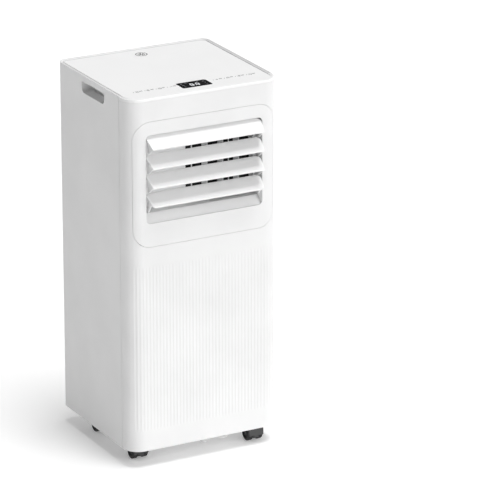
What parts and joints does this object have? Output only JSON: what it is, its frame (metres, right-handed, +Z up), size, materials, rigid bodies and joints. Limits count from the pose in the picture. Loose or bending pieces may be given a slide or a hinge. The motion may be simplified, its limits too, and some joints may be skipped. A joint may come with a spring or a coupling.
{
  "type": "portable air conditioner",
  "caption": "Upright room air conditioner on twin-wheel casters, with tilting front louvers, top display, side grips and rear exhaust collar.",
  "frame": {"origin": "on the floor under the middle of the unit's box, which reaches as far forward (open louvers) as back (exhaust collar)", "axes": "+X to the unit's right seen from the front, -Y towards the front, +Z up"},
  "size_m": [0.292, 0.307, 0.671],
  "materials": {
    "white_shell": "fine satin moulded texture",
    "louver_white": "smooth satin",
    "vane_white": "smooth satin",
    "display_black": "polished window",
    "circuit_board": "solder mask",
    "pan_grey": "satin",
    "motor_steel": "zinc plated",
    "foam_dark": "fine bead foam",
    "duct_grey": "satin",
    "wheel_black": "satin",
    "coil_aluminium": "bare fins",
    "compressor_black": "satin paint",
    "rubber_black": "dull",
    "copper": "bare copper tube",
    "filter_grey": "woven mesh in a frame",
    "gland_grey": "dull",
    "rubber_grey": "dull",
    "cap_white": "satin",
    "screw_steel": "zinc plated",
    "caster_black": "satin",
    "caster_wheel": "worn satin"
  },
  "bodies": {
    "cabinet": {"front_shell": "white_shell", "outlet_panel": "white_shell", "left_side_panel": "white_shell", "right_side_panel": "white_shell", "rear_panel": "white_shell", "control_deck": "white_shell", "louver_frame": "white_shell", "exhaust_collar": "white_shell", "display_lens": "display_black", "display_board": "circuit_board", "base_tray": "pan_grey", "rear_drain_spigot": "pan_grey", "divider_shelf": "pan_grey", "condensate_tray": "pan_grey", "swing_motor": "motor_steel", "upper_volute": "foam_dark", "lower_volute": "duct_grey", "upper_fan_motor": "motor_steel", "lower_fan_motor": "motor_steel", "evaporator": "coil_aluminium", "condenser": "coil_aluminium", "compressor": "compressor_black", "compressor_feet": "rubber_black", "refrigerant_pipes": "copper", "control_box": "duct_grey", "cord_gland": "gland_grey", "cabinet_screws": "screw_steel", "caster_stems": "screw_steel"},
    "louver_1": {"louver_1": "louver_white"},
    "louver_2": {"louver_2": "louver_white"},
    "louver_3": {"louver_3": "louver_white"},
    "louver_4": {"louver_4": "louver_white"},
    "vane_1": {"vane_1": "vane_white"},
    "vane_2": {"vane_2": "vane_white"},
    "vane_3": {"vane_3": "vane_white"},
    "louver_link": {"louver_link": "vane_white"},
    "swing_crank": {"swing_crank": "vane_white"},
    "vane_link": {"vane_link": "vane_white"},
    "upper_blower": {"upper_blower_wheel": "wheel_black"},
    "lower_blower": {"lower_blower_wheel": "wheel_black"},
    "upper_intake": {"upper_intake_grille": "white_shell", "upper_filter": "filter_grey"},
    "lower_intake": {"lower_intake_grille": "white_shell", "lower_filter": "filter_grey"},
    "rear_drain_plug": {"rear_drain_plug": "rubber_grey"},
    "bottom_drain_cap": {"bottom_drain_cap": "cap_white"},
    "caster_front_left": {"caster_front_left": "caster_black"},
    "caster_front_left_wheel_left": {"caster_front_left_wheel_left": "caster_wheel"},
    "caster_front_left_wheel_right": {"caster_front_left_wheel_right": "caster_wheel"},
    "caster_front_right": {"caster_front_right": "caster_black"},
    "caster_front_right_wheel_left": {"caster_front_right_wheel_left": "caster_wheel"},
    "caster_front_right_wheel_right": {"caster_front_right_wheel_right": "caster_wheel"},
    "caster_rear_left": {"caster_rear_left": "caster_black"},
    "caster_rear_left_wheel_left": {"caster_rear_left_wheel_left": "caster_wheel"},
    "caster_rear_left_wheel_right": {"caster_rear_left_wheel_right": "caster_wheel"},
    "caster_rear_right": {"caster_rear_right": "caster_black"},
    "caster_rear_right_wheel_left": {"caster_rear_right_wheel_left": "caster_wheel"},
    "caster_rear_right_wheel_right": {"caster_rear_right_wheel_right": "caster_wheel"}
  },
  "joints": [
    {"name": "louver_1_tilt", "type": "hinge", "parent": "cabinet", "child": "louver_1", "pos_m": [0, -0.131, 0.594], "axis": [-1, 0, 0], "range_deg": [-54, 20]},
    {"name": "louver_2_tilt", "type": "hinge", "parent": "cabinet", "child": "louver_2", "pos_m": [0, -0.131, 0.5598], "axis": [-1, 0, 0], "range_deg": [-54, 20]},
    {"name": "louver_3_tilt", "type": "hinge", "parent": "cabinet", "child": "louver_3", "pos_m": [0, -0.131, 0.5256], "axis": [-1, 0, 0], "range_deg": [-54, 20]},
    {"name": "louver_4_tilt", "type": "hinge", "parent": "cabinet", "child": "louver_4", "pos_m": [0, -0.131, 0.4914], "axis": [-1, 0, 0], "range_deg": [-54, 20]},
    {"name": "louver_link_pivot", "type": "hinge", "parent": "louver_1", "child": "louver_link", "pos_m": [0.103, -0.11895, 0.58913], "axis": [-1, 0, 0], "range_deg": [-20, 54]},
    {"name": "swing_crank_turn", "type": "hinge", "parent": "cabinet", "child": "swing_crank", "pos_m": [0.11, -0.106, 0.5427], "axis": [-1, 0, 0], "range_deg": [-54, 20]},
    {"name": "vane_1_turn", "type": "hinge", "parent": "cabinet", "child": "vane_1", "pos_m": [0.0175, -0.102, 0.535], "axis": [0, 0, 1], "range_deg": [-35, 35]},
    {"name": "vane_2_turn", "type": "hinge", "parent": "cabinet", "child": "vane_2", "pos_m": [0.0481, -0.102, 0.535], "axis": [0, 0, 1], "range_deg": [-35, 35]},
    {"name": "vane_3_turn", "type": "hinge", "parent": "cabinet", "child": "vane_3", "pos_m": [0.0787, -0.102, 0.535], "axis": [0, 0, 1], "range_deg": [-35, 35]},
    {"name": "vane_link_pivot", "type": "hinge", "parent": "vane_1", "child": "vane_link", "pos_m": [0.0175, -0.0955, 0.535], "axis": [0, 0, 1], "range_deg": [-35, 35]},
    {"name": "upper_blower_spin", "type": "hinge", "parent": "cabinet", "child": "upper_blower", "pos_m": [-0.048, 0, 0.536], "axis": [0, 1, 0], "continuous": true},
    {"name": "lower_blower_spin", "type": "hinge", "parent": "cabinet", "child": "lower_blower", "pos_m": [0.035, 0.04, 0.181], "axis": [0, 1, 0], "continuous": true},
    {"name": "upper_intake_pull", "type": "slide", "parent": "cabinet", "child": "upper_intake", "axis": [0, 1, 0], "range_m": [0, 0.06]},
    {"name": "lower_intake_pull", "type": "slide", "parent": "cabinet", "child": "lower_intake", "axis": [0, 1, 0], "range_m": [0, 0.06]},
    {"name": "rear_drain_plug_pull", "type": "slide", "parent": "cabinet", "child": "rear_drain_plug", "axis": [0, 1, 0], "range_m": [0, 0.03]},
    {"name": "bottom_drain_cap_pull", "type": "slide", "parent": "cabinet", "child": "bottom_drain_cap", "axis": [0, 0, -1], "range_m": [0, 0.015]},
    {"name": "caster_front_left_swivel", "type": "hinge", "parent": "cabinet", "child": "caster_front_left", "pos_m": [-0.108, -0.096, 0.025], "axis": [0, 0, 1], "continuous": true},
    {"name": "caster_front_left_wheel_left_roll", "type": "hinge", "parent": "caster_front_left", "child": "caster_front_left_wheel_left", "pos_m": [-0.11745, -0.085, 0.014], "axis": [1, 0, 0], "continuous": true},
    {"name": "caster_front_left_wheel_right_roll", "type": "hinge", "parent": "caster_front_left", "child": "caster_front_left_wheel_right", "pos_m": [-0.09855, -0.085, 0.014], "axis": [1, 0, 0], "continuous": true},
    {"name": "caster_front_right_swivel", "type": "hinge", "parent": "cabinet", "child": "caster_front_right", "pos_m": [0.108, -0.096, 0.025], "axis": [0, 0, 1], "continuous": true},
    {"name": "caster_front_right_wheel_left_roll", "type": "hinge", "parent": "caster_front_right", "child": "caster_front_right_wheel_left", "pos_m": [0.09855, -0.107, 0.014], "axis": [1, 0, 0], "continuous": true},
    {"name": "caster_front_right_wheel_right_roll", "type": "hinge", "parent": "caster_front_right", "child": "caster_front_right_wheel_right", "pos_m": [0.11745, -0.107, 0.014], "axis": [1, 0, 0], "continuous": true},
    {"name": "caster_rear_left_swivel", "type": "hinge", "parent": "cabinet", "child": "caster_rear_left", "pos_m": [-0.108, 0.068, 0.025], "axis": [0, 0, 1], "continuous": true},
    {"name": "caster_rear_left_wheel_left_roll", "type": "hinge", "parent": "caster_rear_left", "child": "caster_rear_left_wheel_left", "pos_m": [-0.11745, 0.057, 0.014], "axis": [1, 0, 0], "continuous": true},
    {"name": "caster_rear_left_wheel_right_roll", "type": "hinge", "parent": "caster_rear_left", "child": "caster_rear_left_wheel_right", "pos_m": [-0.09855, 0.057, 0.014], "axis": [1, 0, 0], "continuous": true},
    {"name": "caster_rear_right_swivel", "type": "hinge", "parent": "cabinet", "child": "caster_rear_right", "pos_m": [0.108, 0.068, 0.025], "axis": [0, 0, 1], "continuous": true},
    {"name": "caster_rear_right_wheel_left_roll", "type": "hinge", "parent": "caster_rear_right", "child": "caster_rear_right_wheel_left", "pos_m": [0.09855, 0.079, 0.014], "axis": [1, 0, 0], "continuous": true},
    {"name": "caster_rear_right_wheel_right_roll", "type": "hinge", "parent": "caster_rear_right", "child": "caster_rear_right_wheel_right", "pos_m": [0.11745, 0.079, 0.014], "axis": [1, 0, 0], "continuous": true}
  ],
  "couplings": [
    {"joint": "louver_2_tilt", "follows": "louver_1_tilt", "ratio": 1},
    {"joint": "louver_3_tilt", "follows": "louver_1_tilt", "ratio": 1},
    {"joint": "louver_4_tilt", "follows": "louver_1_tilt", "ratio": 1},
    {"joint": "louver_link_pivot", "follows": "louver_1_tilt", "ratio": -1},
    {"joint": "swing_crank_turn", "follows": "louver_1_tilt", "ratio": 1},
    {"joint": "vane_2_turn", "follows": "vane_1_turn", "ratio": 1},
    {"joint": "vane_3_turn", "follows": "vane_1_turn", "ratio": 1},
    {"joint": "vane_link_pivot", "follows": "vane_1_turn", "ratio": -1}
  ]
}
